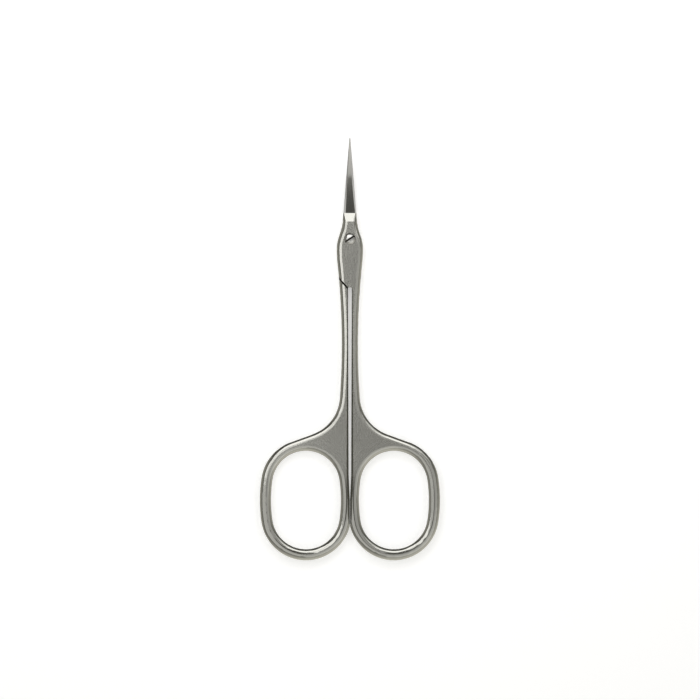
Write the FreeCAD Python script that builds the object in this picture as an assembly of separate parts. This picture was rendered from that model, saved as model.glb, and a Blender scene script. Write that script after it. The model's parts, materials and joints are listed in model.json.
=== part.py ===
import FreeCAD, Part
import math
import os

# Cuticle scissors, closed and lying on their back with the points towards +Y.
# The front half holds the right finger ring and the rear half the left one.
# They cross at a flat joint, where one slotted screw is the pivot. All sizes are in millimetres.
# The halves are built about the pivot, with the parting plane of the joint at height zero.

# Reach from the pivot
blade_reach = 23.9
ring_reach = 76.1

# Joint plates
plate_thickness = 1.6
plate_width = 6.25
plate_widest_drop = 2.4
plate_upper_radius = 9.0
waist_radius = 12.0
plate_gap = 0.08

# Step where a plate ends and the shank of the other half takes its full thickness
step_drop = 12.05
step_angle = math.radians(49)
step_gap = 0.36
step_bevel = 0.06

# Shoulder that slopes from the plate down to the blade, with round sides that narrow towards it
shoulder_start = 4.1
shoulder_length = 2.0
spine_side_run = 0.6
edge_side_run = 0.35
spine_side_tilt = math.radians(24)
shoulder_side_tilt = math.radians(75)
shoulder_overrun_share = 0.15

# Shanks, with the slot between them and the material that the parting cut takes off.
# The neck, where a shank is slimmest, is at a share of the way to the rings, and its bend takes a
# share of the two radii that lead to it. The slot narrows from the step to the webs and closes
# between the rings. Its bevel is small at the step and full from the webs on
neck_width = 3.84
neck_share = 0.3285
neck_bend_share = 0.847
shank_gap = 0.88
web_gap = 0.6
slot_closing = 6.0
slot_end_bevel = 0.2
parting_bevel = 0.5
parting_allowance = 1.3

# Finger rings
opening_width = 16.55
opening_length = 23.3
opening_end_share = 0.967
ring_band = 2.65
axis_band = 2.13
meeting_gap = 0.06

# Web between shank and ring
web_slope = math.radians(20)
web_radius = 9.9

# Rounding of the handle edges: how far inside the outline it starts, and its radius. Both are
# limited by the narrowest walls that the rounding runs along. It is made of short lengths, which
# keep its surface smooth where it bends slowly
edge_run = 1.22
edge_radius = 1.58
edge_wall_share = 0.47
edge_radius_share = 0.494
rounding_length = 2.0

# Blades
blade_root_width = 3.1
blade_tip_width = 0.22
bend_start = 5.5
bend_radius = 38.0
spine_root_thickness = 0.87
spine_tip_thickness = 0.4
cutting_edge_thickness = 0.1
blade_stations = 8

# Corners of a blade section between the spine and the cutting edge, as shares of its half width
# and of the thickness at the spine
spine_bevel_share = 0.34
spine_side_share = 0.83
face_edge_share = 0.92
root_edge_bevel_share = 0.16
tip_edge_bevel_share = 0.8

# Pivot screw
head_diameter = 2.6
head_seat_depth = 0.3
head_dome_height = 0.42
head_clearance = 0.05
screw_shoulder_diameter = 1.8
shoulder_clearance = 0.03
thread_diameter = 1.4
thread_clearance = 0.02
tail_recess = 0.1
slot_width = 0.42
slot_depth = 0.36
slot_angle = math.radians(32)

# Every cut runs past the material by this much
overrun = 1.0

origin = FreeCAD.Vector(0, 0, 0)
rightwards = FreeCAD.Vector(1, 0, 0)
pointwards = FreeCAD.Vector(0, 1, 0)
upwards = FreeCAD.Vector(0, 0, 1)

# Worked out from the sizes above
shoulder_end = shoulder_start + shoulder_length
head_seat = plate_thickness - head_seat_depth
joint_face = plate_gap / 2
ring_x = axis_band + opening_width / 2
ring_y = ring_band + opening_length / 2 - ring_reach
neck_drop = neck_share * ring_reach
neck_narrowing = (plate_width - neck_width) / 2
neck_run = neck_drop - plate_widest_drop
neck_radii = (neck_run ** 2 + neck_narrowing ** 2) / (2 * neck_narrowing)
neck_radius = neck_bend_share * neck_radii
handle_radius = min(edge_radius, edge_radius_share * 2 * plate_thickness)
handle_run = min(
    edge_run,
    edge_wall_share * ring_band,
    edge_wall_share * (neck_width / 2 + parting_allowance),
    0.9 * handle_radius,
)
edge_tilt = math.asin(handle_run / handle_radius)


def point(x, y, z=0):
    return FreeCAD.Vector(x, y, z)


def heading(angle):
    """Unit vector in plan, turned by angle from +X."""
    return point(math.cos(angle), math.sin(angle))


def unit(vector):
    return vector / vector.Length


def line(start, end):
    return Part.LineSegment(start, end).toShape()


def arc(centre, start, end):
    """Edge along a circle, the shorter way from start to end."""
    middle = centre + unit(start + end - centre * 2) * (start - centre).Length
    return Part.Arc(start, middle, end).toShape()


def polygon(corners):
    return [line(corners[i - 1], corners[i]) for i in range(len(corners))]


def prism(edges, bottom, top, hole=()):
    """Upright solid on a closed outline in plan, which may have a hole."""
    outlines = [Part.Wire(edges)]
    if hole:
        outlines.append(Part.Wire(hole))
    face = Part.Face(outlines, "Part::FaceMakerBullseye")
    face.translate(upwards * bottom)
    return face.extrude(upwards * (top - bottom))


def revolved(edges):
    """Solid of a profile in the XZ plane, turned about the pivot axis."""
    return Part.Face(Part.Wire(edges)).revolve(origin, upwards, 360)


def arc_centre(line_point, along, side, offset, other_centre, distance, way):
    """Centre at offset from a line, on its given side, and at distance from another centre."""
    start = line_point + side * offset
    to_other = other_centre - start
    foot = to_other.dot(along)
    reach = math.sqrt(distance ** 2 - (to_other - along * foot).Length ** 2)
    return start + along * (foot + way * reach)


def oval(grow):
    """Radii, centres and joints of the four arcs round a finger opening, grown outwards.

    Sides and ends are named by their way: 1 for right or top, -1 for left or bottom.
    """
    half_width = opening_width / 2
    end_radius = opening_end_share * half_width
    end_height = opening_length / 2 - end_radius
    side_radius = (half_width ** 2 + end_height ** 2 - end_radius ** 2) / (2 * (half_width - end_radius))
    side_shift = side_radius - half_width
    sides = {way: point(ring_x - way * side_shift, ring_y) for way in (1, -1)}
    ends = {way: point(ring_x, ring_y + way * end_height) for way in (1, -1)}
    joints = {}
    for side_way in (1, -1):
        for end_way in (1, -1):
            outward = unit(ends[end_way] - sides[side_way])
            joints[side_way, end_way] = ends[end_way] + outward * (end_radius + grow)
    return end_radius + grow, side_radius + grow, sides, ends, joints


def opening_outline(grow):
    end_radius, side_radius, sides, ends, joints = oval(grow)
    return [
        arc(ends[1], joints[-1, 1], joints[1, 1]),
        arc(sides[1], joints[1, 1], joints[1, -1]),
        arc(ends[-1], joints[1, -1], joints[-1, -1]),
        arc(sides[-1], joints[-1, -1], joints[-1, 1]),
    ]


def plate_side():
    """Tangent edges down the right side of the joint, from the root of the blade to the neck."""
    root = point(blade_root_width / 2, shoulder_end)
    tip = point(blade_tip_width / 2, blade_reach)
    blade_line = unit(tip - root)
    outward = point(blade_line.y, -blade_line.x)
    widest = point(plate_width / 2, -plate_widest_drop)
    upper_centre = widest - point(plate_upper_radius, 0)
    waist_centre = arc_centre(
        root, blade_line, outward, waist_radius, upper_centre, plate_upper_radius + waist_radius, 1
    )
    waist_start = waist_centre - outward * waist_radius
    waist_end = upper_centre + unit(waist_centre - upper_centre) * plate_upper_radius

    neck = point(neck_width / 2, -neck_drop)
    neck_centre = neck + point(neck_radius, 0)
    lower_radius = neck_radii - neck_radius
    lower_centre = widest - point(lower_radius, 0)
    lower_end = lower_centre + unit(neck_centre - lower_centre) * lower_radius
    return [
        line(root, waist_start),
        arc(waist_centre, waist_start, waist_end),
        arc(upper_centre, waist_end, widest),
        arc(lower_centre, widest, lower_end),
        arc(neck_centre, lower_end, neck),
    ]


def handle_side():
    """Tangent edges from the neck round the web and the ring, and up the spare left side."""
    neck = point(neck_width / 2, -neck_drop)
    neck_centre = neck + point(neck_radius, 0)
    end_radius, side_radius, sides, ends, joints = oval(ring_band)
    slope_line = heading(-web_slope)
    slope_up = heading(math.pi / 2 - web_slope)
    slope_end = ends[1] + slope_up * end_radius
    web_centre = arc_centre(
        slope_end, slope_line, slope_up, web_radius, neck_centre, neck_radius - web_radius, -1
    )
    neck_end = web_centre + unit(web_centre - neck_centre) * web_radius
    slope_start = web_centre - slope_up * web_radius

    spare_top = point(-parting_allowance, shoulder_end)
    to_spare = spare_top - sides[-1]
    turn = math.atan2(to_spare.y, to_spare.x) + math.acos(side_radius / to_spare.Length)
    spare_bottom = sides[-1] + heading(turn) * side_radius
    return [
        arc(neck_centre, neck, neck_end),
        arc(web_centre, neck_end, slope_start),
        line(slope_start, slope_end),
        arc(ends[1], slope_end, joints[1, 1]),
        arc(sides[1], joints[1, 1], joints[1, -1]),
        arc(ends[-1], joints[1, -1], joints[-1, -1]),
        arc(sides[-1], joints[-1, -1], spare_bottom),
        line(spare_bottom, spare_top),
    ]


def short_lengths(edges):
    """The same edges in a row, divided into short equal lengths."""
    pieces = []
    for edge in edges:
        count = math.ceil(edge.Length / rounding_length)
        step = (edge.LastParameter - edge.FirstParameter) / count
        for i in range(count):
            first = edge.FirstParameter + i * step
            pieces.append(edge.Curve.toShape(first, first + step))
    return pieces


def rounded_prism(outline, bottom, top, chosen, with_opening=False):
    """Prism whose chosen level edges are rounded, with an upright wall below the rounding.

    A prism on a grown outline gets the full rounding, and the wall cuts it back to the outline.
    """
    grow = handle_radius - handle_run
    grown_outline = short_lengths(Part.Wire(outline).makeOffset2D(grow, 2).OrderedEdges)
    grown_hole = short_lengths(opening_outline(-grow)) if with_opening else ()
    grown = prism(grown_outline, bottom, top, grown_hole)
    edges = []
    for edge in grown.Edges:
        corners = [vertex.Point for vertex in edge.Vertexes]
        level = math.isclose(corners[0].z, corners[-1].z)
        if level and chosen(corners):
            edges.append(edge)
    hole = opening_outline(0) if with_opening else ()
    wall = prism(outline, bottom - overrun, top + overrun, hole)
    return grown.makeFillet(handle_radius, edges).common(wall)


def parting_cutter(start, end, depth, start_bevel, end_bevel):
    """Cutter for the left of a line seen from its start, with a bevel for both edges of the cut."""
    along = unit(end - start)
    across = point(along.y, -along.x)
    top = plate_thickness + overrun
    sections = []
    for place, bevel in ((start, start_bevel), (end, end_bevel)):
        profile = [
            (-depth, -top),
            (bevel + overrun, -top),
            (0, bevel - plate_thickness),
            (0, plate_thickness - bevel),
            (bevel + overrun, top),
            (-depth, top),
        ]
        corners = [place + across * side + upwards * height for side, height in profile]
        sections.append(Part.Wire(polygon(corners)))
    return Part.makeLoft(sections, True, True)


def handle():
    """Plate, shank, web and ring of the front half, before its blade and bore."""
    sides = plate_side() + handle_side()
    root = point(blade_root_width / 2, shoulder_end)
    spare_top = point(-parting_allowance, shoulder_end)
    body = rounded_prism(
        sides + [line(spare_top, root)],
        -plate_thickness,
        plate_thickness,
        lambda corners: min(corner.y for corner in corners) < shoulder_end,
        with_opening=True,
    )

    # The left of the plate covers the other half down to the step
    left_side = [edge.mirror(origin, rightwards) for edge in plate_side()]
    inner_top = point(0, shoulder_end)
    inner_bottom = point(0, -neck_drop)
    closing = [
        line(point(-neck_width / 2, -neck_drop), inner_bottom),
        line(inner_bottom, inner_top),
        line(inner_top, point(-blade_root_width / 2, shoulder_end)),
    ]
    plate = rounded_prism(
        left_side + closing,
        0,
        plate_thickness,
        lambda corners: (
            corners[0].z > 0
            and max(corner.x for corner in corners) < -blade_tip_width
            and not math.isclose(corners[0].y, corners[-1].y)
        ),
    )

    # The parting line runs up between the rings, opens to the slot and turns up the step
    end_radius, side_radius, ring_sides, ring_ends, joints = oval(ring_band)
    step_line = heading(math.pi - step_angle)
    corner_rise = math.tan(step_angle) * shank_gap / 2
    step_corner = point(-shank_gap / 2, corner_rise - step_drop)
    step_start = step_corner - step_line * neck_drop
    step_end = step_corner + step_line * plate_width
    slot_top = point(shank_gap / 2, step_corner.y)
    closed_top = point(meeting_gap / 2, ring_sides[1].y)
    slot_bottom = point(web_gap / 2, closed_top.y + slot_closing)
    opening_line = unit(slot_bottom - closed_top)
    bottom = point(meeting_gap / 2, ring_ends[-1].y - end_radius - overrun)
    step = parting_cutter(step_start, step_end, 2 * neck_drop, step_bevel, step_bevel)
    slot = parting_cutter(slot_bottom, slot_top, plate_width, parting_bevel, slot_end_bevel)
    opening = parting_cutter(
        closed_top - opening_line * overrun, slot_bottom, plate_width, parting_bevel, parting_bevel
    )
    closed = parting_cutter(
        bottom, closed_top + pointwards * overrun, plate_width, parting_bevel, parting_bevel
    )
    upper_step = parting_cutter(step_corner, step_end, plate_width, step_bevel, step_bevel)
    plate = plate.cut(step).cut(slot)
    for cutter in (closed, opening, slot, upper_step):
        body = body.cut(cutter)
    whole = body.fuse(plate).removeSplitter()

    # Behind the plate there is room for the other plate and its step
    far = heading(step_angle) * neck_drop
    under_step = point(0, -step_drop - step_gap / math.cos(step_angle))
    behind = [
        under_step - far,
        under_step + far,
        point(far.x, blade_reach),
        point(-far.x, blade_reach),
    ]
    whole = whole.cut(prism(polygon(behind), -plate_thickness - overrun, joint_face))

    return whole.cut(above_shoulder())


def shoulder_section(share):
    """Section across the shoulder at a share of its length, with a round side towards spine and edge.

    Its sides stand a little outside the plate, and its foot lies under it.
    """
    across = line(point(0, shoulder_start), point(plate_width, shoulder_start))
    start_width = Part.Wire(plate_side()).section(across).Vertexes[0].X
    half_width = start_width + share * (blade_root_width / 2 - start_width)
    reach = shoulder_start + share * shoulder_length
    feet = []
    rims = []
    flat_ends = []
    rounds = []
    for way, end_height, end_run, end_tilt in (
        (-1, spine_root_thickness, spine_side_run, spine_side_tilt),
        (1, face_edge_share * spine_root_thickness, edge_side_run, edge_tilt),
    ):
        height = plate_thickness + share * (end_height - plate_thickness)
        run = handle_run + share * (end_run - handle_run)
        radius = run / math.sin(edge_tilt + share * (end_tilt - edge_tilt))
        flat_end = point(way * (half_width - run), reach, height)
        centre = flat_end - upwards * radius
        outward = point(way * math.sin(shoulder_side_tilt), 0, math.cos(shoulder_side_tilt))
        rim = centre + outward * radius
        rims.append(rim)
        flat_ends.append(flat_end)
        feet.append(point(rim.x, reach, -plate_thickness))
        rounds.append(arc(centre, rim, flat_end))
    return Part.Wire([
        line(feet[0], rims[0]),
        rounds[0],
        line(flat_ends[0], flat_ends[1]),
        rounds[1],
        line(rims[1], feet[1]),
        line(feet[1], feet[0]),
    ])


def above_shoulder():
    """Space over the slope that leads from the plate down to the root of the blade."""
    shares = (-shoulder_overrun_share, 1 + shoulder_overrun_share)
    below = Part.makeLoft([shoulder_section(share) for share in shares], True, True)
    start = shoulder_start + shares[0] * shoulder_length
    length = (shares[1] - shares[0]) * shoulder_length
    room = Part.makeBox(
        4 * plate_width, length, 2 * plate_thickness,
        point(-2 * plate_width, start, joint_face),
    )
    return room.cut(below)


def bend_rise(reach):
    """Height of the bent mating surface of the blades at a reach from the pivot."""
    run = max(reach - bend_start, 0)
    return bend_radius - math.sqrt(bend_radius ** 2 - run ** 2)


def beyond_mating_surface(way):
    """Space above (1) or below (-1) the surface, turned about the pivot, on which the blades slide."""
    reach = blade_reach + overrun
    shift = upwards * -way * joint_face
    bend = point(bend_start, 0) + shift
    rim = point(reach, 0, bend_rise(reach)) + shift
    far = bend_rise(reach) + overrun if way > 0 else -plate_thickness
    edges = [
        line(shift, bend),
        arc(bend + upwards * bend_radius, bend, rim),
        line(rim, point(reach, 0, far)),
        line(point(reach, 0, far), point(0, 0, far)),
        line(point(0, 0, far), shift),
    ]
    return revolved(edges)


def blade(way):
    """Tapered bent blade above (1) or below (-1) the mating surface, spine to the left seen from outside."""
    start = shoulder_start + shoulder_length / 2
    sections = []
    for i in range(blade_stations):
        share = i / (blade_stations - 1)
        reach = start + share * (blade_reach - start)
        taper = (reach - shoulder_end) / (blade_reach - shoulder_end)
        half_width = (blade_root_width + taper * (blade_tip_width - blade_root_width)) / 2
        spine = spine_root_thickness + share * (spine_tip_thickness - spine_root_thickness)
        inner = -plate_thickness / 2
        bevel = root_edge_bevel_share + share * (tip_edge_bevel_share - root_edge_bevel_share)
        outline = [
            (-1, inner),
            (-1, spine_side_share * spine),
            (spine_bevel_share - 1, spine),
            (1 - bevel, face_edge_share * spine),
            (1, cutting_edge_thickness),
            (1, inner),
        ]
        rise = bend_rise(reach)
        corners = [point(way * x * half_width, reach, rise + way * z) for x, z in outline]
        sections.append(Part.Wire(polygon(corners)))
    return Part.makeLoft(sections, True, False).cut(beyond_mating_surface(-way))


def drill(radius, bottom, top):
    return Part.makeCylinder(radius, top - bottom, point(0, 0, bottom), upwards)


def front_half():
    solid = handle().fuse(blade(1)).removeSplitter()
    bore = drill(screw_shoulder_diameter / 2 + shoulder_clearance, -overrun, plate_thickness + overrun)
    seat = drill(head_diameter / 2 + head_clearance, head_seat, plate_thickness + overrun)
    return solid.cut(bore.fuse(seat))


def rear_half():
    solid = handle()
    solid.rotate(origin, pointwards, 180)
    solid = solid.fuse(blade(-1)).removeSplitter()
    return solid.cut(drill(thread_diameter / 2 + thread_clearance, -plate_thickness - overrun, overrun))


def pivot_screw():
    """Domed slotted head, smooth shoulder for the front half and a tail that holds in the rear half."""
    head_radius = head_diameter / 2
    shoulder_radius = screw_shoulder_diameter / 2
    thread_radius = thread_diameter / 2
    tail = tail_recess - plate_thickness
    under_head = head_seat + shoulder_clearance
    dome_radius = (head_radius ** 2 + head_dome_height ** 2) / (2 * head_dome_height)
    dome_top = plate_thickness + head_dome_height
    corners = [
        point(0, 0, dome_top),
        point(0, 0, tail),
        point(thread_radius, 0, tail),
        point(thread_radius, 0, -joint_face),
        point(shoulder_radius, 0, -joint_face),
        point(shoulder_radius, 0, under_head),
        point(head_radius, 0, under_head),
        point(head_radius, 0, plate_thickness),
    ]
    edges = [line(corners[i], corners[i + 1]) for i in range(len(corners) - 1)]
    edges.append(arc(point(0, 0, dome_top - dome_radius), corners[-1], corners[0]))
    slot = Part.makeBox(
        2 * head_diameter, slot_width, slot_depth + overrun,
        point(-head_diameter, -slot_width / 2, dome_top - slot_depth),
    )
    slot.rotate(origin, upwards, math.degrees(slot_angle))
    return revolved(edges).cut(slot)


def main():
    """Write each piece with the scissors centred in plan and their back on the ground."""
    to_rest = point(0, (ring_reach - blade_reach) / 2, plate_thickness)
    os.makedirs("parts", exist_ok=True)
    pieces = {"front_half": front_half(), "rear_half": rear_half(), "pivot_screw": pivot_screw()}
    for name, shape in pieces.items():
        shape.translate(to_rest)
        shape.exportStep("parts/" + name + ".step")


main()
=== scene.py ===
"""Looks of a pair of cuticle scissors: satin forged halves, polished blades and a slotted pivot screw."""

import json
import math

import bmesh
import bpy
import numpy as np
from bpy.props import FloatProperty
from bpy.props import FloatVectorProperty
from bpy.props import PointerProperty
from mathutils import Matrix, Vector


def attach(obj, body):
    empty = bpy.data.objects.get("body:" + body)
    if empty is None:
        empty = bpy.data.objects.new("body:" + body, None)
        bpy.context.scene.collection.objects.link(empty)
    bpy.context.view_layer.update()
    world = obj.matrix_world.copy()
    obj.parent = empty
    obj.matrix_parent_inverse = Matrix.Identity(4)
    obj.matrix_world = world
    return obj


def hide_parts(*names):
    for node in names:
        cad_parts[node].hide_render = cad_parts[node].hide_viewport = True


bl_info = {
    "name": "Cuticle scissors",
    "version": (1, 0, 0),
    "blender": (4, 5, 0),
    "location": "View3D > Sidebar > Scissors",
    "description": "Dresses the packed scissors in steel and sets the studio",
    "category": "Object",
}

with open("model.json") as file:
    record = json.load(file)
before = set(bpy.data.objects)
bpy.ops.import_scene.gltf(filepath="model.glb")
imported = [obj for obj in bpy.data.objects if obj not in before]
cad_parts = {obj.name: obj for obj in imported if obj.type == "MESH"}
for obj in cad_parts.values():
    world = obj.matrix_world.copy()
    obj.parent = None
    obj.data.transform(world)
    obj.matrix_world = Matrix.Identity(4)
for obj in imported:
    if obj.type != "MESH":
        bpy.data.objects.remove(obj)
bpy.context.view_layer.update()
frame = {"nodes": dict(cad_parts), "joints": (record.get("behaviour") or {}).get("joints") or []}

MM = 0.001
joints = {joint["name"]: joint for joint in frame["joints"]}
pivot = Vector(joints["blade_pivot"]["pos_m"])
plate_top = 2 * pivot.z
blade_root = pivot.y + 6.1 * MM
step_angle = math.radians(49)
step_foot = pivot.y - 12.33 * MM
ring_centre = Vector((10.405 * MM, -35.7 * MM, pivot.z))
ring_half_width = 8.275 * MM
ring_half_length = 11.65 * MM
shoulder_blend = 0.1 * MM
web_run = 8 * MM
weld_distance = 0.002 * MM
floor_drop = 0.02 * MM
# Painted shade: near-black colours for the crevice along the step and for the screw slot, and their matt
# roughness
painted_crevice_shade_colour = (0.03, 0.028, 0.025, 1)
painted_slot_shade_colour = (0.05, 0.048, 0.04, 1)
painted_shade_roughness = 0.5


class SteelFinish(bpy.types.PropertyGroup):
    """Colours and surface of the two finishes."""

    satin_colour: FloatVectorProperty(
        name="Satin colour",
        description="Colour of the satin steel of the handles and joint plates",
        subtype="COLOR",
        size=4,
        min=0,
        max=1,
        default=(0.68, 0.674, 0.625, 1),
    )
    polished_colour: FloatVectorProperty(
        name="Polished colour",
        description="Colour of the polished steel of the blades and the screw",
        subtype="COLOR",
        size=4,
        min=0,
        max=1,
        default=(0.62, 0.615, 0.595, 1),
    )
    flat_roughness: FloatProperty(
        name="Flat roughness",
        description="Roughness of the brushed flats",
        subtype="FACTOR",
        min=0,
        max=1,
        default=0.25,
    )
    edge_roughness: FloatProperty(
        name="Edge roughness",
        description="Roughness of the tumbled round edges and rings",
        subtype="FACTOR",
        min=0,
        max=1,
        default=0.09,
    )
    blade_roughness: FloatProperty(
        name="Blade roughness",
        description="Roughness of the polished blades",
        subtype="FACTOR",
        min=0,
        max=1,
        default=0.09,
    )
    bevel_roughness: FloatProperty(
        name="Bevel roughness",
        description="Roughness of the ground bevels along the blades",
        subtype="FACTOR",
        min=0,
        max=1,
        default=0.38,
    )
    grain_depth: FloatProperty(
        name="Grain depth",
        description="Depth of the brushing lines",
        unit="LENGTH",
        min=0,
        default=0.0000012,
        precision=7,
    )


class ScrewSizes(bpy.types.PropertyGroup):
    """Sizes of the slotted pivot screw."""

    head_diameter: FloatProperty(
        name="Head diameter",
        description="Across the screw head",
        unit="LENGTH",
        default=2.6 * MM,
        precision=5,
    )
    dome_height: FloatProperty(
        name="Dome height",
        description="Height of the domed head over the joint plate",
        unit="LENGTH",
        default=0.42 * MM,
        precision=5,
    )
    slot_width: FloatProperty(
        name="Slot width",
        description="Width of the screwdriver slot",
        unit="LENGTH",
        default=0.42 * MM,
        precision=5,
    )
    slot_depth: FloatProperty(
        name="Slot depth",
        description="Depth of the slot from the top of the dome",
        unit="LENGTH",
        default=0.36 * MM,
        precision=5,
    )
    slot_angle: FloatProperty(
        name="Slot angle",
        description="Turn of the slot from the X axis at rest",
        subtype="ANGLE",
        default=math.radians(32),
    )
    lip_radius: FloatProperty(
        name="Lip radius",
        description="Rounding along the edges of the slot and the head",
        unit="LENGTH",
        default=0.05 * MM,
        precision=5,
    )
    thread_pitch: FloatProperty(
        name="Thread pitch",
        description="Rise of the thread per turn",
        unit="LENGTH",
        default=0.3 * MM,
        precision=5,
    )


class StageLook(bpy.types.PropertyGroup):
    """Floor, light and camera."""

    floor_colour: FloatVectorProperty(
        name="Floor colour",
        description="Colour of the plain pale floor",
        subtype="COLOR",
        size=4,
        min=0,
        max=1,
        default=(0.9, 0.9, 0.9, 1),
    )
    floor_lift: FloatProperty(
        name="Floor lift",
        description="Share of white that the floor shows by itself, so that it looks white",
        subtype="FACTOR",
        min=0,
        max=1,
        default=0.4,
    )
    far_radiance: FloatProperty(
        name="Far panel",
        description="Brightness of the soft panel beyond the points",
        min=0,
        default=1.3,
    )
    left_radiance: FloatProperty(
        name="Left panel",
        description="Brightness of the small soft panel on the left",
        min=0,
        default=1.1,
    )
    spot_radiance: FloatProperty(
        name="Left spot",
        description="Brightness of the small bright panel on the left, near the joint",
        min=0,
        default=2.5,
    )
    near_radiance: FloatProperty(
        name="Near panel",
        description="Brightness of the soft panel on the side of the rings",
        min=0,
        default=0.38,
    )
    right_radiance: FloatProperty(
        name="Right panel",
        description="Brightness of the soft panel on the right",
        min=0,
        default=0.3,
    )
    ring_radiance: FloatProperty(
        name="Ring panel",
        description="Brightness of the soft panel over the left ring",
        min=0,
        default=0.45,
    )
    wash_radiance: FloatProperty(
        name="Floor wash",
        description="Brightness of the wide panel that lights the floor and isn't mirrored in the steel",
        min=0,
        default=0.35,
    )
    lens: FloatProperty(
        name="Lens",
        description="Focal length of the camera",
        subtype="DISTANCE_CAMERA",
        default=500,
    )


def feed(tree, socket, value):
    """Link another socket to an input, or set a plain value on it."""
    if isinstance(value, bpy.types.NodeSocket):
        tree.links.new(value, socket)
    else:
        socket.default_value = value


def maths(tree, operation, *values):
    """Result socket of a maths node on sockets or plain numbers."""
    node = tree.nodes.new("ShaderNodeMath")
    node.operation = operation
    for socket, value in zip(node.inputs, values):
        feed(tree, socket, value)
    return node.outputs[0]


def ramp(tree, value, low, high, start=0.0, end=1.0):
    """Smooth step of a socket from start at low to end at high."""
    node = tree.nodes.new("ShaderNodeMapRange")
    node.interpolation_type = "SMOOTHSTEP"
    tree.links.new(value, node.inputs["Value"])
    node.inputs["From Min"].default_value = low
    node.inputs["From Max"].default_value = high
    node.inputs["To Min"].default_value = start
    node.inputs["To Max"].default_value = end
    return node.outputs["Result"]


def mixed(tree, share, first, second):
    """Blend of two values by a share."""
    node = tree.nodes.new("ShaderNodeMix")
    node.data_type = "FLOAT"
    for place, value in ((0, share), (2, first), (3, second)):
        feed(tree, node.inputs[place], value)
    return node.outputs[0]


def mixed_colour(tree, share, first, second):
    """Blend of two colours by a share."""
    node = tree.nodes.new("ShaderNodeMix")
    node.data_type = "RGBA"
    for place, value in ((0, share), (6, first), (7, second)):
        feed(tree, node.inputs[place], value)
    return node.outputs[2]


def noise(tree, vector, scale, detail=2.0, roughness=0.5):
    """Noise value on a vector socket."""
    node = tree.nodes.new("ShaderNodeTexNoise")
    node.inputs["Scale"].default_value = scale
    node.inputs["Detail"].default_value = detail
    node.inputs["Roughness"].default_value = roughness
    tree.links.new(vector, node.inputs["Vector"])
    return node.outputs["Fac"]


def new_group(name, inputs, outputs):
    """Empty shader node group with named sockets, and its end nodes."""
    group = bpy.data.node_groups.new(name, "ShaderNodeTree")
    for label, kind in inputs:
        group.interface.new_socket(name=label, in_out="INPUT", socket_type=kind)
    for label, kind in outputs:
        group.interface.new_socket(name=label, in_out="OUTPUT", socket_type=kind)
    start = group.nodes.new("NodeGroupInput")
    end = group.nodes.new("NodeGroupOutput")
    return group, start, end


def place_group(tree, group, vector, **values):
    """A group in a material, fed with a vector."""
    node = tree.nodes.new("ShaderNodeGroup")
    node.node_tree = group
    tree.links.new(vector, node.inputs["Vector"])
    for key, value in values.items():
        node.inputs[key.replace("_", " ")].default_value = value
    return node


def handle_coordinates_group():
    """Millimetre coordinates that follow the handle: across it, along it and up.

    Round a ring, across is the distance from its centre as a share of the opening's size, times
    the mean of its half sizes, and along is the turn about the centre times the same mean. On the
    shanks and the plates, across is X and along is Y. Both rings use the size of X without its
    sign. The two blend just outside the rings, by the share that is also given as off ring.
    """
    group, start, end = new_group(
        "handle_coordinates",
        [("Vector", "NodeSocketVector")],
        [("Vector", "NodeSocketVector"), ("Off ring", "NodeSocketFloat")],
    )
    split = group.nodes.new("ShaderNodeSeparateXYZ")
    group.links.new(start.outputs["Vector"], split.inputs[0])
    x_size = maths(group, "ABSOLUTE", split.outputs["X"])
    from_ring_x = maths(group, "SUBTRACT", x_size, ring_centre.x)
    from_ring_y = maths(group, "SUBTRACT", split.outputs["Y"], ring_centre.y)
    share_x = maths(group, "DIVIDE", from_ring_x, ring_half_width)
    share_y = maths(group, "DIVIDE", from_ring_y, ring_half_length)
    squares = maths(group, "MULTIPLY_ADD", share_x, share_x, maths(group, "MULTIPLY", share_y, share_y))
    out = maths(group, "SQRT", squares)
    turn = maths(group, "ARCTAN2", share_y, share_x)
    mean = (ring_half_width + ring_half_length) / 2 / MM
    ring_across = maths(group, "MULTIPLY", out, mean)
    ring_along = maths(group, "MULTIPLY", turn, mean)
    straight_across = maths(group, "DIVIDE", split.outputs["X"], MM)
    straight_along = maths(group, "DIVIDE", split.outputs["Y"], MM)
    up = maths(group, "DIVIDE", split.outputs["Z"], MM)
    away = ramp(group, out, 1.28, 1.5)
    joined = group.nodes.new("ShaderNodeCombineXYZ")
    group.links.new(mixed(group, away, ring_across, straight_across), joined.inputs["X"])
    group.links.new(mixed(group, away, ring_along, straight_along), joined.inputs["Y"])
    group.links.new(up, joined.inputs["Z"])
    group.links.new(joined.outputs[0], end.inputs["Vector"])
    group.links.new(away, end.inputs["Off ring"])
    return group


def brushed_grain_group():
    """Fine lines along Y of the vector: two noises, squeezed across the lines and drawn out along them."""
    group, start, end = new_group(
        "brushed_grain",
        [
            ("Vector", "NodeSocketVector"),
            ("Line width", "NodeSocketFloat"),
            ("Line length", "NodeSocketFloat"),
        ],
        [("Height", "NodeSocketFloat"), ("Streaks", "NodeSocketFloat")],
    )
    split = group.nodes.new("ShaderNodeSeparateXYZ")
    group.links.new(start.outputs["Vector"], split.inputs[0])
    squeezed = group.nodes.new("ShaderNodeCombineXYZ")
    across = maths(group, "DIVIDE", split.outputs["X"], start.outputs["Line width"])
    along = maths(group, "DIVIDE", split.outputs["Y"], start.outputs["Line length"])
    up = maths(group, "DIVIDE", split.outputs["Z"], start.outputs["Line width"])
    group.links.new(across, squeezed.inputs["X"])
    group.links.new(along, squeezed.inputs["Y"])
    group.links.new(up, squeezed.inputs["Z"])
    fine = noise(group, squeezed.outputs[0], 1.0, 3.0, 0.65)
    broad = noise(group, squeezed.outputs[0], 0.17, 2.0, 0.5)
    height = maths(group, "MULTIPLY_ADD", fine, 0.7, maths(group, "MULTIPLY", broad, 0.3))
    group.links.new(height, end.inputs["Height"])
    group.links.new(ramp(group, broad, 0.3, 0.7), end.inputs["Streaks"])
    return group


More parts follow.
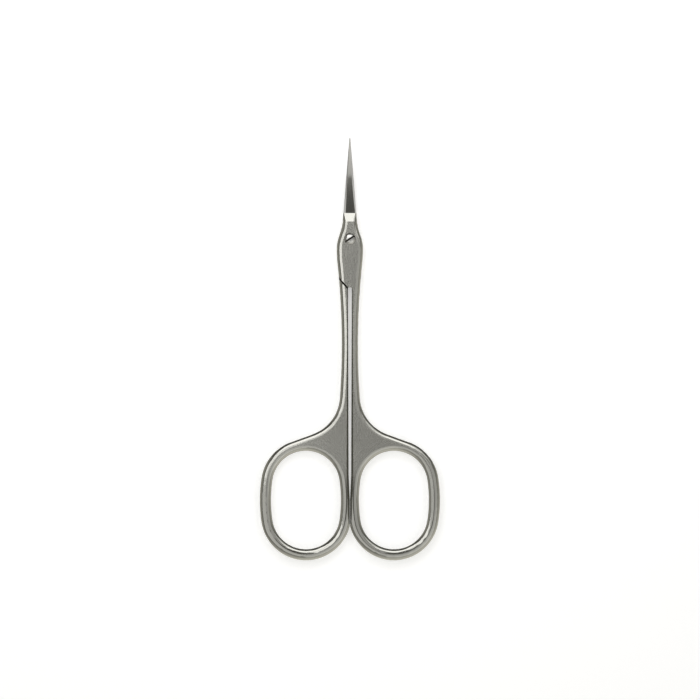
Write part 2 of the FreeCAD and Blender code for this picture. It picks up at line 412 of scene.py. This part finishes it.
def fine_scratches_group():
    """Sparse hairline scratches in two crossing directions: the peaks of drawn-out noises."""
    group, start, end = new_group(
        "fine_scratches",
        [("Vector", "NodeSocketVector"), ("Amount", "NodeSocketFloat")],
        [("Mask", "NodeSocketFloat")],
    )
    masks = []
    for turn, size in ((0.35, (9.0, 0.35, 3.0)), (-0.9, (7.0, 0.28, 3.0))):
        mapping = group.nodes.new("ShaderNodeMapping")
        mapping.inputs["Rotation"].default_value = (0, 0, turn)
        mapping.inputs["Scale"].default_value = size
        group.links.new(start.outputs["Vector"], mapping.inputs["Vector"])
        lines = noise(group, mapping.outputs[0], 1.0, 1.0, 0.4)
        masks.append(ramp(group, lines, 0.66, 0.76))
    both = maths(group, "MAXIMUM", masks[0], masks[1])
    group.links.new(maths(group, "MULTIPLY", both, start.outputs["Amount"]), end.inputs["Mask"])
    return group


def handling_marks_group():
    """Soft patches of touch and wiping: broad noise broken up by a finer one."""
    group, start, end = new_group(
        "handling_marks",
        [("Vector", "NodeSocketVector"), ("Patch size", "NodeSocketFloat")],
        [("Mask", "NodeSocketFloat")],
    )
    scaled = group.nodes.new("ShaderNodeVectorMath")
    scaled.operation = "DIVIDE"
    group.links.new(start.outputs["Vector"], scaled.inputs[0])
    group.links.new(start.outputs["Patch size"], scaled.inputs[1])
    broad = noise(group, scaled.outputs[0], 1.0, 2.0, 0.5)
    fine = noise(group, scaled.outputs[0], 6.0, 3.0, 0.6)
    patches = ramp(group, broad, 0.4, 0.68)
    group.links.new(maths(group, "MULTIPLY", patches, ramp(group, fine, 0.25, 0.7)), end.inputs["Mask"])
    return group


def new_material(name):
    """Material with a steel shader, and its node tree and shader."""
    material = bpy.data.materials.new(name)
    material.use_nodes = True
    tree = material.node_tree
    tree.nodes.clear()
    shader = tree.nodes.new("ShaderNodeBsdfPrincipled")
    shader.inputs["Metallic"].default_value = 1.0
    output = tree.nodes.new("ShaderNodeOutputMaterial")
    tree.links.new(shader.outputs[0], output.inputs["Surface"])
    return material, tree, shader


def shared_groups():
    """The node groups that the steel materials share, made once."""
    makers = {
        "handle_coordinates": handle_coordinates_group,
        "brushed_grain": brushed_grain_group,
        "fine_scratches": fine_scratches_group,
        "handling_marks": handling_marks_group,
    }
    return {name: bpy.data.node_groups.get(name) or make() for name, make in makers.items()}


def half_steel(name, finish, lean):
    """Steel of a half: brushed webs and plates, smoother round edges and rings, and a polished blade.

    The blade starts at the shoulder, and its bevels are ground coarser. Painted shade, nearly black
    and matt, darkens the mating face along the step of the other half, a line that leans to the left
    of the points (-1) or to the right (1).
    """
    groups = shared_groups()
    material, tree, shader = new_material(name)
    place = tree.nodes.new("ShaderNodeTexCoord")
    split = tree.nodes.new("ShaderNodeSeparateXYZ")
    tree.links.new(place.outputs["Object"], split.inputs[0])
    facing = tree.nodes.new("ShaderNodeSeparateXYZ")
    tree.links.new(place.outputs["Normal"], facing.inputs[0])
    on_blade = ramp(tree, split.outputs["Y"], blade_root - shoulder_blend, blade_root + shoulder_blend)
    flatness = ramp(tree, maths(tree, "ABSOLUTE", facing.outputs["Z"]), 0.93, 0.995)
    sideways = ramp(tree, maths(tree, "ABSOLUTE", facing.outputs["X"]), 0.15, 0.32)
    on_bevel = maths(tree, "MULTIPLY", on_blade, sideways)

    along_handle = place_group(tree, groups["handle_coordinates"], place.outputs["Object"])
    grain = place_group(
        tree, groups["brushed_grain"], along_handle.outputs["Vector"], Line_width=0.16, Line_length=9.0
    )
    blade_grain = place_group(
        tree, groups["brushed_grain"], along_handle.outputs["Vector"], Line_width=0.05, Line_length=6.0
    )
    scratches = place_group(tree, groups["fine_scratches"], along_handle.outputs["Vector"], Amount=1.0)
    marks = place_group(tree, groups["handling_marks"], along_handle.outputs["Vector"], Patch_size=5.0)

    # Painted shade in the crevice: close to the parting plane and to the line of the step
    plane_fade = (0.1 * MM, 0.4 * MM)
    step_fade = (0.4 * MM, 1.0 * MM)
    step_slope = -lean * math.tan(step_angle)
    from_plane = maths(tree, "ABSOLUTE", maths(tree, "SUBTRACT", split.outputs["Z"], pivot.z))
    step_rise = maths(tree, "MULTIPLY_ADD", split.outputs["X"], step_slope, split.outputs["Y"])
    from_step = maths(tree, "ABSOLUTE", maths(tree, "SUBTRACT", step_rise, step_foot))
    painted_shade = maths(
        tree, "MULTIPLY",
        ramp(tree, from_plane, *plane_fade, 1.0, 0.0),
        ramp(tree, from_step, *step_fade, 1.0, 0.0),
    )

    # Colour: streaks, marks and ground bevels darker, painted crevice shade nearly black
    satin = tuple(finish.satin_colour)
    polished = tuple(finish.polished_colour)
    dull = tuple(0.86 * value for value in satin[:3]) + (1,)
    ground = tuple(0.7 * value for value in polished[:3]) + (1,)
    colour = mixed_colour(tree, maths(tree, "MULTIPLY", grain.outputs["Streaks"], 0.2), satin, dull)
    colour = mixed_colour(tree, maths(tree, "MULTIPLY", marks.outputs["Mask"], 0.12), colour, dull)
    colour = mixed_colour(tree, on_blade, colour, polished)
    colour = mixed_colour(tree, on_bevel, colour, ground)
    # Painted shade along the step of the other half, nearly black
    colour = mixed_colour(tree, painted_shade, colour, painted_crevice_shade_colour)
    tree.links.new(colour, shader.inputs["Base Color"])

    # Roughness: flats rougher than round edges and rings, blades polished, their ground bevels coarse
    on_web = ramp(tree, split.outputs["Y"], ring_centre.y, ring_centre.y + web_run)
    unpolished = maths(tree, "MAXIMUM", along_handle.outputs["Off ring"], on_web)
    brushed = maths(tree, "MULTIPLY", flatness, unpolished)
    roughness = mixed(tree, brushed, finish.edge_roughness, finish.flat_roughness)
    roughness = maths(tree, "MULTIPLY_ADD", grain.outputs["Streaks"], 0.01, roughness)
    roughness = maths(tree, "MULTIPLY_ADD", marks.outputs["Mask"], 0.01, roughness)
    blade_roughness = maths(
        tree, "MULTIPLY_ADD", blade_grain.outputs["Streaks"], 0.02, finish.blade_roughness
    )
    roughness = mixed(tree, on_blade, roughness, blade_roughness)
    roughness = mixed(tree, on_bevel, roughness, finish.bevel_roughness)
    roughness = maths(tree, "MULTIPLY_ADD", scratches.outputs["Mask"], 0.03, roughness)
    roughness = mixed(tree, painted_shade, roughness, painted_shade_roughness)
    tree.links.new(roughness, shader.inputs["Roughness"])

    # Relief: brushing lines on the flats, faint on edges and blades
    relief_share = mixed(tree, flatness, 0.35, 1.0)
    satin_relief = maths(tree, "MULTIPLY", grain.outputs["Height"], relief_share)
    blade_relief = maths(tree, "MULTIPLY", blade_grain.outputs["Height"], 0.2)
    relief = mixed(tree, on_blade, satin_relief, blade_relief)
    relief = maths(tree, "MULTIPLY_ADD", scratches.outputs["Mask"], -0.3, relief)
    bump = tree.nodes.new("ShaderNodeBump")
    bump.inputs["Strength"].default_value = 1.0
    bump.inputs["Distance"].default_value = finish.grain_depth
    tree.links.new(relief, bump.inputs["Height"])
    tree.links.new(bump.outputs["Normal"], shader.inputs["Normal"])
    return material


def screw_steel(finish, sizes):
    """Turned and polished steel of the screw, with fine rings about the pivot and painted shade in the
    slot.
    """
    groups = shared_groups()
    material, tree, shader = new_material("polished_steel_screw")
    place = tree.nodes.new("ShaderNodeTexCoord")
    centred = tree.nodes.new("ShaderNodeMapping")
    centred.inputs["Location"].default_value = (-pivot.x / MM, -pivot.y / MM, 0)
    centred.inputs["Scale"].default_value = (1 / MM, 1 / MM, 1 / MM)
    tree.links.new(place.outputs["Object"], centred.inputs["Vector"])
    split = tree.nodes.new("ShaderNodeSeparateXYZ")
    tree.links.new(centred.outputs[0], split.inputs[0])
    squares = maths(
        tree, "MULTIPLY_ADD", split.outputs["X"], split.outputs["X"],
        maths(tree, "MULTIPLY", split.outputs["Y"], split.outputs["Y"]),
    )
    turned = tree.nodes.new("ShaderNodeCombineXYZ")
    tree.links.new(maths(tree, "SQRT", squares), turned.inputs["X"])
    tree.links.new(maths(tree, "ARCTAN2", split.outputs["Y"], split.outputs["X"]), turned.inputs["Y"])
    tree.links.new(split.outputs["Z"], turned.inputs["Z"])
    rings = place_group(tree, groups["brushed_grain"], turned.outputs[0], Line_width=0.04, Line_length=1.2)
    scratches = place_group(tree, groups["fine_scratches"], centred.outputs[0], Amount=1.0)
    marks = place_group(tree, groups["handling_marks"], centred.outputs[0], Patch_size=0.7)

    # Painted shade in the slot: close to its middle line and above the seat of the head
    off_slot = maths(
        tree, "MULTIPLY_ADD", split.outputs["X"], -math.sin(sizes.slot_angle),
        maths(tree, "MULTIPLY", split.outputs["Y"], math.cos(sizes.slot_angle)),
    )
    half_slot = sizes.slot_width / 2 / MM
    painted_shade = maths(
        tree, "MULTIPLY",
        ramp(tree, maths(tree, "ABSOLUTE", off_slot), half_slot, half_slot + 0.03, 1.0, 0.0),
        ramp(tree, split.outputs["Z"], plate_top / MM - 0.3, plate_top / MM - 0.25),
    )

    polished = tuple(1.2 * value for value in finish.polished_colour[:3]) + (1,)
    dull = tuple(0.8 * value for value in polished[:3]) + (1,)
    colour = mixed_colour(tree, maths(tree, "MULTIPLY", marks.outputs["Mask"], 0.4), polished, dull)
    # Painted shade in the slot, nearly black
    colour = mixed_colour(tree, painted_shade, colour, painted_slot_shade_colour)
    tree.links.new(colour, shader.inputs["Base Color"])
    roughness = maths(tree, "MULTIPLY_ADD", rings.outputs["Streaks"], 0.04, 0.06)
    roughness = maths(tree, "MULTIPLY_ADD", marks.outputs["Mask"], 0.08, roughness)
    roughness = maths(tree, "MULTIPLY_ADD", scratches.outputs["Mask"], 0.08, roughness)
    roughness = mixed(tree, painted_shade, roughness, painted_shade_roughness)
    tree.links.new(roughness, shader.inputs["Roughness"])
    relief = maths(tree, "MULTIPLY_ADD", scratches.outputs["Mask"], -0.3, rings.outputs["Height"])
    bump = tree.nodes.new("ShaderNodeBump")
    bump.inputs["Strength"].default_value = 0.5
    bump.inputs["Distance"].default_value = finish.grain_depth
    tree.links.new(relief, bump.inputs["Height"])
    tree.links.new(bump.outputs["Normal"], shader.inputs["Normal"])
    return material


def grid_faces(rows, columns, first=0, closed=False):
    """Quads of a grid of vertices laid out row by row; closed joins the last column to the first."""
    numbers = first + np.arange(rows * columns).reshape(rows, columns)
    if closed:
        numbers = np.concatenate([numbers, numbers[:, :1]], axis=1)
    corners = [numbers[:-1, :-1], numbers[:-1, 1:], numbers[1:, 1:], numbers[1:, :-1]]
    return np.stack([corner.ravel() for corner in corners], axis=1)


def mesh_piece(name, points, faces, material):
    """Object with the given points, quads and material."""
    mesh = bpy.data.meshes.new(name)
    mesh.from_pydata(points.tolist(), [], faces.tolist())
    mesh.validate()
    piece = bpy.data.objects.new(name, mesh)
    bpy.context.scene.collection.objects.link(piece)
    mesh.materials.append(material)
    return piece


def merge_and_turn_out(piece, distance):
    """Weld the doubles of a closed shell, point its faces outwards and shade them smooth."""
    work = bmesh.new()
    work.from_mesh(piece.data)
    bmesh.ops.remove_doubles(work, verts=work.verts, dist=distance)
    bmesh.ops.dissolve_degenerate(work, edges=work.edges, dist=distance)
    bmesh.ops.recalc_face_normals(work, faces=work.faces)
    work.to_mesh(piece.data)
    work.free()
    piece.data.shade_smooth()


def screw_shell(sizes):
    """Points and quads of the slotted screw, about the pivot.

    The top is a grid of rows parallel to the slot: a row at v across the slot runs from one side
    of the head's circle to the other, so the walls of the slot follow the rows. Its height is the
    dome's, a circle's arc turned about the axis, lowered to the floor of the slot between the
    walls, with a rounded lip along each wall and round the rim. The skirt, shoulder and tail are
    one profile carried round the same rim points; on the tail the radius falls and rises with the
    turn and the height, which cuts the thread.
    """
    radius = sizes.head_diameter / 2
    lip = sizes.lip_radius
    dome_radius = (radius ** 2 + sizes.dome_height ** 2) / (2 * sizes.dome_height)
    dome_centre = plate_top + sizes.dome_height - dome_radius
    slot_floor = plate_top + sizes.dome_height - sizes.slot_depth
    half_slot = sizes.slot_width / 2
    wall_lean = 0.02 * MM
    wall_margin = 0.001 * MM

    turns = np.linspace(0, math.pi / 2, 7)
    wall = half_slot - wall_lean
    floor_rows = np.linspace(0, wall - lip, 6)
    foot_rows = wall - lip * (1 - np.sin(turns))
    lip_rows = half_slot + lip * (1 - np.cos(turns))
    outer_turns = np.linspace(math.asin((half_slot + lip) / radius), math.pi / 2, 40)
    outer_rows = radius * np.sin(outer_turns[1:])
    side = np.concatenate([floor_rows, foot_rows, lip_rows, outer_rows])
    across = np.concatenate([-side[::-1], side[1:]])
    share = np.linspace(-1, 1, 73)
    v = np.repeat(across[:, None], len(share), axis=1)
    u = np.sqrt(np.maximum(radius ** 2 - v ** 2, 0)) * np.sin(share * math.pi / 2)[None, :]
    reach = np.minimum(np.hypot(u, v), radius)
    dome = dome_centre + np.sqrt(dome_radius ** 2 - reach ** 2)
    rim_fall = np.clip((reach - (radius - lip)) / lip, 0, 1)
    dome = dome - lip * (1 - np.sqrt(1 - rim_fall ** 2))
    from_wall = np.abs(v) - half_slot
    lip_fall = np.clip(1 - from_wall / lip, 0, 1)
    outside = dome - lip * (1 - np.sqrt(np.maximum(1 - lip_fall ** 2, 0)))
    foot = np.clip((np.abs(v) - (wall - lip)) / lip, 0, 1)
    inside = slot_floor + lip * (1 - np.sqrt(np.maximum(1 - foot ** 2, 0)))
    in_slot = np.abs(v) < half_slot - wall_margin
    height = np.where(in_slot, np.minimum(inside, outside), outside)
    top = np.stack([u, v, height], axis=-1)

    # The rim's points in order round the head
    left = top[1:-1, 0]
    right = top[-2:0:-1, -1]
    rim = np.concatenate([top[:1, 0], left, top[-1:, 0], right])
    angle = np.arctan2(rim[:, 1], rim[:, 0])

    shoulder = 0.9 * MM
    tail = 0.7 * MM
    seat = plate_top - 0.27 * MM
    parting = pivot.z - 0.04 * MM
    end = 0.1 * MM
    head_chamfer = 0.03 * MM
    end_chamfer = 0.12 * MM
    thread_depth = 0.11 * MM
    thread_rows = np.arange(90)
    run_out_rows = 12
    collar_radii = [radius, radius - head_chamfer, shoulder, shoulder, tail]
    collar_levels = [seat + head_chamfer, seat, seat, parting, parting]
    end_radii = [tail - end_chamfer, 0]
    threaded = np.linspace(parting, end + end_chamfer, len(thread_rows))
    radii = np.concatenate([collar_radii, np.full(len(thread_rows), tail), end_radii])
    levels = np.concatenate([collar_levels, threaded, [end, end]])
    phase = (levels[:, None] / sizes.thread_pitch - angle[None, :] / (2 * math.pi)) % 1
    thread_cut = np.minimum(1, np.minimum(thread_rows, thread_rows[::-1]) / run_out_rows)
    cut = np.concatenate([np.zeros(len(collar_radii)), thread_cut, np.zeros(len(end_radii))])
    ridge = np.abs(2 * phase - 1)
    around = radii[:, None] - thread_depth * cut[:, None] * ridge
    skirt = np.stack([
        around * np.cos(angle)[None, :],
        around * np.sin(angle)[None, :],
        np.repeat(levels[:, None], len(angle), axis=1),
    ], axis=-1)
    skirt = np.concatenate([rim[None, :, :], skirt])

    points = np.concatenate([top.reshape(-1, 3), skirt.reshape(-1, 3)])
    faces = np.concatenate([
        grid_faces(len(across), len(share)),
        grid_faces(len(skirt), len(angle), first=top.shape[0] * top.shape[1], closed=True),
    ])
    turn = np.array([
        [math.cos(sizes.slot_angle), math.sin(sizes.slot_angle), 0],
        [-math.sin(sizes.slot_angle), math.cos(sizes.slot_angle), 0],
        [0, 0, 1],
    ])
    return points @ turn + np.array([pivot.x, pivot.y, 0]), faces


class SCISSORS_OT_halves(bpy.types.Operator):
    """Gives both forged halves their steel: brushed webs and plates, polished rings and blades"""

    bl_idname = "scissors.halves"
    bl_label = "Forged halves"

    def execute(self, context):
        for name, lean in (("front_half", 1), ("rear_half", -1)):
            material = half_steel("steel_" + name, context.scene.scissors_finish, lean)
            node = frame["nodes"][name]
            node.data.materials.clear()
            node.data.materials.append(material)
        return {"FINISHED"}


class SCISSORS_OT_screw(bpy.types.Operator):
    """Builds the slotted pivot screw in place of its solid"""

    bl_idname = "scissors.screw"
    bl_label = "Pivot screw"

    def execute(self, context):
        sizes = context.scene.scissors_screw
        points, faces = screw_shell(sizes)
        if not np.isfinite(points).all():
            raise RuntimeError("the screw sizes give no closed head")
        steel = screw_steel(context.scene.scissors_finish, sizes)
        piece = mesh_piece("slotted_screw", points, faces, steel)
        merge_and_turn_out(piece, weld_distance)
        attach(piece, "pivot_screw")
        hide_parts("pivot_screw")
        return {"FINISHED"}


def panel(name, centre, width, length, radiance):
    """Soft panel over the scissors that faces the floor, with a given brightness."""
    lamp = bpy.data.lights.new(name, "AREA")
    lamp.shape = "RECTANGLE"
    lamp.size = width
    lamp.size_y = length
    lamp.energy = radiance * math.pi * width * length
    lamp_object = bpy.data.objects.new(name, lamp)
    bpy.context.scene.collection.objects.link(lamp_object)
    lamp_object.location = centre
    lamp_object.visible_camera = False
    return lamp_object


def leaning(tree, place, direction):
    """How far the view into the world leans to a direction, from -1 to 1."""
    node = tree.nodes.new("ShaderNodeVectorMath")
    node.operation = "DOT_PRODUCT"
    node.inputs[1].default_value = Vector(direction).normalized()
    tree.links.new(place.outputs["Generated"], node.inputs[0])
    return node.outputs["Value"]


def studio_world():
    """World that is dark beyond the points, lighter towards the rings, with a soft glow low on the left."""
    world = bpy.data.worlds.new("studio_world")
    world.use_nodes = True
    tree = world.node_tree
    tree.nodes.clear()
    place = tree.nodes.new("ShaderNodeTexCoord")
    to_rings = leaning(tree, place, (0.3, -0.75, -0.59))
    to_left = leaning(tree, place, (-0.96, 0.17, 0.2))
    level = ramp(tree, to_rings, -0.6, 0.8, 0.09, 0.65)
    glow = ramp(tree, to_left, 0.8, 1.0, 0.0, 0.2)
    background = tree.nodes.new("ShaderNodeBackground")
    background.inputs["Color"].default_value = (1, 0.985, 0.9, 1)
    tree.links.new(maths(tree, "ADD", level, glow), background.inputs["Strength"])
    output = tree.nodes.new("ShaderNodeOutputWorld")
    tree.links.new(background.outputs[0], output.inputs["Surface"])
    bpy.context.scene.world = world


def floor_material(look):
    """Plain pale floor: it takes the light and shadow, and shows a share of white by itself."""
    material = bpy.data.materials.new("plain_floor")
    material.use_nodes = True
    tree = material.node_tree
    tree.nodes.clear()
    matt = tree.nodes.new("ShaderNodeBsdfDiffuse")
    matt.inputs["Color"].default_value = look.floor_colour
    glow = tree.nodes.new("ShaderNodeEmission")
    path = tree.nodes.new("ShaderNodeLightPath")
    seen = maths(tree, "MAXIMUM", path.outputs["Is Camera Ray"], path.outputs["Is Glossy Ray"])
    seen = maths(tree, "MAXIMUM", seen, path.outputs["Is Transmission Ray"])
    tree.links.new(maths(tree, "MULTIPLY", seen, look.floor_lift), glow.inputs["Strength"])
    both = tree.nodes.new("ShaderNodeAddShader")
    tree.links.new(matt.outputs[0], both.inputs[0])
    tree.links.new(glow.outputs[0], both.inputs[1])
    output = tree.nodes.new("ShaderNodeOutputMaterial")
    tree.links.new(both.outputs[0], output.inputs["Surface"])
    return material


class SCISSORS_OT_stage(bpy.types.Operator):
    """Sets the floor, the soft panels, the world and the camera"""

    bl_idname = "scissors.stage"
    bl_label = "Studio stage"

    def execute(self, context):
        look = context.scene.scissors_stage
        floor_reach = 4.0
        lines = np.linspace(-floor_reach, floor_reach, 9)
        across, along = np.meshgrid(lines, lines)
        points = np.stack([across, along, np.full_like(across, -floor_drop)], axis=-1).reshape(-1, 3)
        floor = mesh_piece("floor", points, grid_faces(len(lines), len(lines)), floor_material(look))

        studio_world()
        panel_height = 0.2
        for name, x, y, width, length, radiance in (
            ("far_panel", -0.03, 0.175, 0.26, 0.21, look.far_radiance),
            ("far_right_panel", 0.17, 0.175, 0.14, 0.21, look.far_radiance / 2),
            ("left_panel", -0.1, 0.02, 0.15, 0.08, look.left_radiance),
            ("left_spot", -0.042, 0.035, 0.035, 0.05, look.spot_radiance),
            ("ring_panel", -0.117, -0.082, 0.206, 0.116, look.ring_radiance),
            ("right_panel", 0.117, 0, 0.186, 0.1, look.right_radiance),
            ("near_panel", 0.098, -0.125, 0.224, 0.15, look.near_radiance),
        ):
            panel(name, (x, y, panel_height), width, length, radiance)
        wash = panel("floor_wash", (0, 0, 0.6), 1.2, 1.2, look.wash_radiance)
        wash.visible_glossy = False

        view_width = 165.69 * MM
        view_x = 0.024 * MM
        view_y = -0.2 * MM
        sensor_width = 36
        camera = bpy.data.cameras.new("photo_camera")
        camera.lens = look.lens
        camera.sensor_width = sensor_width
        camera.clip_end = 20
        camera_object = bpy.data.objects.new("photo_camera", camera)
        camera_object.location = (view_x, view_y, pivot.z + view_width * look.lens / sensor_width)
        context.scene.collection.objects.link(camera_object)
        context.scene.camera = camera_object
        context.scene.view_settings.view_transform = "Standard"
        return {"FINISHED"}


class SCISSORS_PT_panel(bpy.types.Panel):
    """Lists the makers of the scissors and their settings"""

    bl_idname = "SCISSORS_PT_panel"
    bl_label = "Cuticle scissors"
    bl_space_type = "VIEW_3D"
    bl_region_type = "UI"
    bl_category = "Scissors"

    def draw(self, context):
        layout = self.layout
        scene = context.scene
        for operator in (SCISSORS_OT_halves, SCISSORS_OT_screw, SCISSORS_OT_stage):
            layout.operator(operator.bl_idname)
        for group in (scene.scissors_finish, scene.scissors_screw, scene.scissors_stage):
            box = layout.box()
            for name in group.__annotations__:
                box.prop(group, name)


classes = (
    SteelFinish,
    ScrewSizes,
    StageLook,
    SCISSORS_OT_halves,
    SCISSORS_OT_screw,
    SCISSORS_OT_stage,
    SCISSORS_PT_panel,
)


def register():
    for item in classes:
        bpy.utils.register_class(item)
    bpy.types.Scene.scissors_finish = PointerProperty(type=SteelFinish)
    bpy.types.Scene.scissors_screw = PointerProperty(type=ScrewSizes)
    bpy.types.Scene.scissors_stage = PointerProperty(type=StageLook)


def unregister():
    del bpy.types.Scene.scissors_stage
    del bpy.types.Scene.scissors_screw
    del bpy.types.Scene.scissors_finish
    for item in reversed(classes):
        bpy.utils.unregister_class(item)


def main():
    register()
    bpy.ops.scissors.halves()
    bpy.ops.scissors.screw()
    bpy.ops.scissors.stage()


if __name__ == "__main__":
    main()
